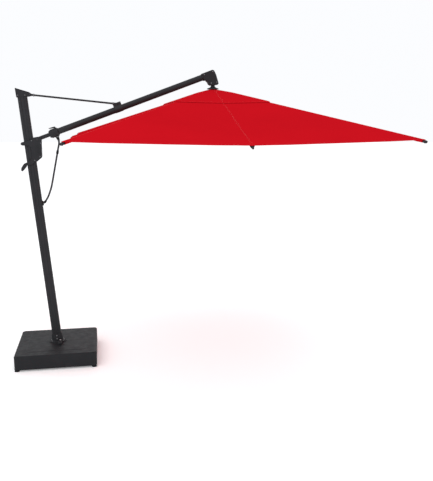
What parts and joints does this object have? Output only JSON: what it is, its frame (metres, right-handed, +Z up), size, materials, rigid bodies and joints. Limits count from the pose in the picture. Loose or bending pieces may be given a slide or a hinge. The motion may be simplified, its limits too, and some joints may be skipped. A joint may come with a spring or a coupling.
{
  "type": "cantilever parasol",
  "caption": "Cantilever parasol with a leaning mast on a square weighted base, a tie rod, a sliding carriage, a pitched boom and a hung rectangular canopy.",
  "frame": {"origin": "middle of the whole object's box, on the ground", "axes": "+X from the mast towards the canopy along the boom, +Y across the canopy, +Z up"},
  "size_m": [3.4348, 3.5226, 2.8931],
  "materials": {
    "coated_aluminium": "satin",
    "coated_steel": "satin",
    "dark_plastic": "matte",
    "cover_plastic": "matte",
    "black_rubber": "matte",
    "pin_steel": "satin",
    "concrete": "matte",
    "canopy_cloth": "matte",
    "cord_sheath": "matte"
  },
  "bodies": {
    "base": {"base_tray": "coated_steel", "base_cover": "cover_plastic", "spindle_housing": "coated_steel", "ballast_slab_1": "concrete", "ballast_slab_2": "concrete", "ballast_slab_3": "concrete", "ballast_slab_4": "concrete"},
    "levelling_foot_1": {"levelling_foot_1": "black_rubber"},
    "levelling_foot_2": {"levelling_foot_2": "black_rubber"},
    "levelling_foot_3": {"levelling_foot_3": "black_rubber"},
    "levelling_foot_4": {"levelling_foot_4": "black_rubber"},
    "mast": {"mast_foot": "coated_steel", "mast_tube": "coated_aluminium", "mast_cap": "dark_plastic", "strut_rear_pin": "pin_steel", "mast_cord_gland": "black_rubber"},
    "foot_pedal": {"foot_pedal": "coated_steel"},
    "carriage": {"carriage_body": "dark_plastic", "arm_pin": "pin_steel", "lift_cord_lower": "cord_sheath"},
    "guide_roller": {"guide_roller": "black_rubber"},
    "release_lever": {"release_lever": "dark_plastic"},
    "arm": {"arm_tube": "coated_aluminium", "tilt_collar": "dark_plastic", "strut_bracket": "coated_steel", "strut_front_pin": "pin_steel", "boom_cord_gland": "black_rubber", "lift_cord_upper": "cord_sheath"},
    "strut": {"strut_rod": "coated_steel"},
    "collar_lever": {"collar_lever": "dark_plastic"},
    "boom": {"boom_tube": "coated_aluminium", "elbow": "dark_plastic", "hub_post": "coated_aluminium", "canopy_crown": "dark_plastic", "canopy_cap": "dark_plastic"},
    "runner": {"runner": "dark_plastic"},
    "rib_1": {"rib_1": "coated_aluminium", "canopy_panel_1": "canopy_cloth"},
    "rib_2": {"rib_2": "coated_aluminium", "canopy_panel_2": "canopy_cloth"},
    "rib_3": {"rib_3": "coated_aluminium", "canopy_panel_3": "canopy_cloth"},
    "rib_4": {"rib_4": "coated_aluminium", "canopy_panel_4": "canopy_cloth"},
    "rib_5": {"rib_5": "coated_aluminium", "canopy_panel_5": "canopy_cloth"},
    "rib_6": {"rib_6": "coated_aluminium", "canopy_panel_6": "canopy_cloth"},
    "rib_7": {"rib_7": "coated_aluminium", "canopy_panel_7": "canopy_cloth"},
    "rib_8": {"rib_8": "coated_aluminium", "canopy_panel_8": "canopy_cloth"},
    "stretcher_1": {"stretcher_1": "coated_aluminium"},
    "stretcher_2": {"stretcher_2": "coated_aluminium"},
    "stretcher_3": {"stretcher_3": "coated_aluminium"},
    "stretcher_4": {"stretcher_4": "coated_aluminium"},
    "stretcher_5": {"stretcher_5": "coated_aluminium"},
    "stretcher_6": {"stretcher_6": "coated_aluminium"},
    "stretcher_7": {"stretcher_7": "coated_aluminium"},
    "stretcher_8": {"stretcher_8": "coated_aluminium"}
  },
  "joints": [
    {"name": "levelling_foot_1_turn", "type": "hinge", "parent": "base", "child": "levelling_foot_1", "pos_m": [-0.9527, 0.369, 0], "axis": [0, 0, 1], "range_deg": [-180, 180]},
    {"name": "levelling_foot_2_turn", "type": "hinge", "parent": "base", "child": "levelling_foot_2", "pos_m": [-1.6907, 0.369, 0], "axis": [0, 0, 1], "range_deg": [-180, 180]},
    {"name": "levelling_foot_3_turn", "type": "hinge", "parent": "base", "child": "levelling_foot_3", "pos_m": [-1.6907, -0.369, 0], "axis": [0, 0, 1], "range_deg": [-180, 180]},
    {"name": "levelling_foot_4_turn", "type": "hinge", "parent": "base", "child": "levelling_foot_4", "pos_m": [-0.9527, -0.369, 0], "axis": [0, 0, 1], "range_deg": [-180, 180]},
    {"name": "mast_rotation", "type": "hinge", "parent": "base", "child": "mast", "pos_m": [-1.3217, 0, 0.1595], "axis": [0, 0, 1], "continuous": true},
    {"name": "foot_pedal_press", "type": "hinge", "parent": "mast", "child": "foot_pedal", "pos_m": [-1.2917, -0.06, 0.1845], "axis": [1, 0, 0], "range_deg": [0, 8], "stiffness_Nm_per_rad": 4},
    {"name": "carriage_slide", "type": "slide", "parent": "mast", "child": "carriage", "axis": [-0.0892, 0, 0.996], "range_m": [-0.36, 0]},
    {"name": "guide_roller_spin", "type": "hinge", "parent": "carriage", "child": "guide_roller", "pos_m": [-1.56359, 0, 2.17496], "axis": [0, 1, 0], "continuous": true},
    {"name": "release_lever_squeeze", "type": "hinge", "parent": "carriage", "child": "release_lever", "pos_m": [-1.54143, 0, 1.98016], "axis": [0, -1, 0], "range_deg": [0, 14], "stiffness_Nm_per_rad": 0.8},
    {"name": "arm_pivot", "type": "hinge", "parent": "carriage", "child": "arm", "pos_m": [-1.42172, 0, 2.21868], "axis": [0, -1, 0], "range_deg": [0, 11.4]},
    {"name": "strut_pivot", "type": "hinge", "parent": "mast", "child": "strut", "pos_m": [-1.4707, 0, 2.63899], "axis": [0, -1, 0], "range_deg": [-15.5, 0]},
    {"name": "collar_lever_lift", "type": "hinge", "parent": "arm", "child": "collar_lever", "pos_m": [-1.25505, 0, 2.33308], "axis": [0, 1, 0], "range_deg": [0, 50]},
    {"name": "side_tilt", "type": "hinge", "parent": "arm", "child": "boom", "pos_m": [-1.22288, 0, 2.2922], "axis": [0.9379, 0, 0.3468], "range_deg": [-18, 18]},
    {"name": "runner_slide", "type": "slide", "parent": "boom", "child": "runner", "axis": [0, 0, -1], "range_m": [0, 0.716]},
    {"name": "rib_1_fold", "type": "hinge", "parent": "boom", "child": "rib_1", "pos_m": [0.3667, 0, 2.6782], "axis": [0, 1, 0], "range_deg": [0, 59.83], "deforming": ["canopy_panel_1"]},
    {"name": "stretcher_1_fold", "type": "hinge", "parent": "rib_1", "child": "stretcher_1", "pos_m": [0.8461, 0, 2.49807], "axis": [0, 1, 0], "range_deg": [-128.97, 0]},
    {"name": "rib_2_fold", "type": "hinge", "parent": "boom", "child": "rib_2", "pos_m": [0.34418, 0.04685, 2.68249], "axis": [-0.7809, 0.6247, 0], "range_deg": [0, 66.61], "deforming": ["canopy_panel_2"]},
    {"name": "stretcher_2_fold", "type": "hinge", "parent": "rib_2", "child": "stretcher_2", "pos_m": [0.64428, 0.42197, 2.56368], "axis": [-0.7809, 0.6247, 0], "range_deg": [-129.2, 0]},
    {"name": "rib_3_fold", "type": "hinge", "parent": "boom", "child": "rib_3", "pos_m": [0.3067, 0.06, 2.67981], "axis": [-1, 0, 0], "range_deg": [0, 62.29], "deforming": ["canopy_panel_3"]},
    {"name": "stretcher_3_fold", "type": "hinge", "parent": "rib_3", "child": "stretcher_3", "pos_m": [0.3067, 0.54066, 2.52213], "axis": [-1, 0, 0], "range_deg": [-128.99, 0]},
    {"name": "rib_4_fold", "type": "hinge", "parent": "boom", "child": "rib_4", "pos_m": [0.26922, 0.04685, 2.68249], "axis": [-0.7809, -0.6247, 0], "range_deg": [0, 66.61], "deforming": ["canopy_panel_4"]},
    {"name": "stretcher_4_fold", "type": "hinge", "parent": "rib_4", "child": "stretcher_4", "pos_m": [-0.03088, 0.42197, 2.56368], "axis": [-0.7809, -0.6247, 0], "range_deg": [-129.2, 0]},
    {"name": "rib_5_fold", "type": "hinge", "parent": "boom", "child": "rib_5", "pos_m": [0.2467, 0, 2.6782], "axis": [0, -1, 0], "range_deg": [0, 59.83], "deforming": ["canopy_panel_5"]},
    {"name": "stretcher_5_fold", "type": "hinge", "parent": "rib_5", "child": "stretcher_5", "pos_m": [-0.2327, 0, 2.49807], "axis": [0, -1, 0], "range_deg": [-128.97, 0]},
    {"name": "rib_6_fold", "type": "hinge", "parent": "boom", "child": "rib_6", "pos_m": [0.26922, -0.04685, 2.68249], "axis": [0.7809, -0.6247, 0], "range_deg": [0, 66.61], "deforming": ["canopy_panel_6"]},
    {"name": "stretcher_6_fold", "type": "hinge", "parent": "rib_6", "child": "stretcher_6", "pos_m": [-0.03088, -0.42197, 2.56368], "axis": [0.7809, -0.6247, 0], "range_deg": [-129.2, 0]},
    {"name": "rib_7_fold", "type": "hinge", "parent": "boom", "child": "rib_7", "pos_m": [0.3067, -0.06, 2.67981], "axis": [1, 0, 0], "range_deg": [0, 62.29], "deforming": ["canopy_panel_7"]},
    {"name": "stretcher_7_fold", "type": "hinge", "parent": "rib_7", "child": "stretcher_7", "pos_m": [0.3067, -0.54066, 2.52213], "axis": [1, 0, 0], "range_deg": [-128.99, 0]},
    {"name": "rib_8_fold", "type": "hinge", "parent": "boom", "child": "rib_8", "pos_m": [0.34418, -0.04685, 2.68249], "axis": [0.7809, 0.6247, 0], "range_deg": [0, 66.61], "deforming": ["canopy_panel_8"]},
    {"name": "stretcher_8_fold", "type": "hinge", "parent": "rib_8", "child": "stretcher_8", "pos_m": [0.64428, -0.42197, 2.56368], "axis": [0.7809, 0.6247, 0], "range_deg": [-129.2, 0]}
  ],
  "couplings": [
    {"joint": "arm_pivot", "follows": "carriage_slide", "rad_per_m": -0.54354},
    {"joint": "strut_pivot", "follows": "carriage_slide", "rad_per_m": 0.73897},
    {"joint": "guide_roller_spin", "follows": "carriage_slide", "rad_per_m": 64.516},
    {"joint": "runner_slide", "follows": "carriage_slide", "ratio": -1.9776},
    {"joint": "rib_1_fold", "follows": "carriage_slide", "rad_per_m": -2.8863},
    {"joint": "stretcher_1_fold", "follows": "carriage_slide", "rad_per_m": 6.2282},
    {"joint": "rib_2_fold", "follows": "carriage_slide", "rad_per_m": -3.2148},
    {"joint": "stretcher_2_fold", "follows": "carriage_slide", "rad_per_m": 6.2396},
    {"joint": "rib_3_fold", "follows": "carriage_slide", "rad_per_m": -3.0054},
    {"joint": "stretcher_3_fold", "follows": "carriage_slide", "rad_per_m": 6.2295},
    {"joint": "rib_4_fold", "follows": "carriage_slide", "rad_per_m": -3.2148},
    {"joint": "stretcher_4_fold", "follows": "carriage_slide", "rad_per_m": 6.2396},
    {"joint": "rib_5_fold", "follows": "carriage_slide", "rad_per_m": -2.8863},
    {"joint": "stretcher_5_fold", "follows": "carriage_slide", "rad_per_m": 6.2282},
    {"joint": "rib_6_fold", "follows": "carriage_slide", "rad_per_m": -3.2148},
    {"joint": "stretcher_6_fold", "follows": "carriage_slide", "rad_per_m": 6.2396},
    {"joint": "rib_7_fold", "follows": "carriage_slide", "rad_per_m": -3.0054},
    {"joint": "stretcher_7_fold", "follows": "carriage_slide", "rad_per_m": 6.2295},
    {"joint": "rib_8_fold", "follows": "carriage_slide", "rad_per_m": -3.2148},
    {"joint": "stretcher_8_fold", "follows": "carriage_slide", "rad_per_m": 6.2396}
  ]
}
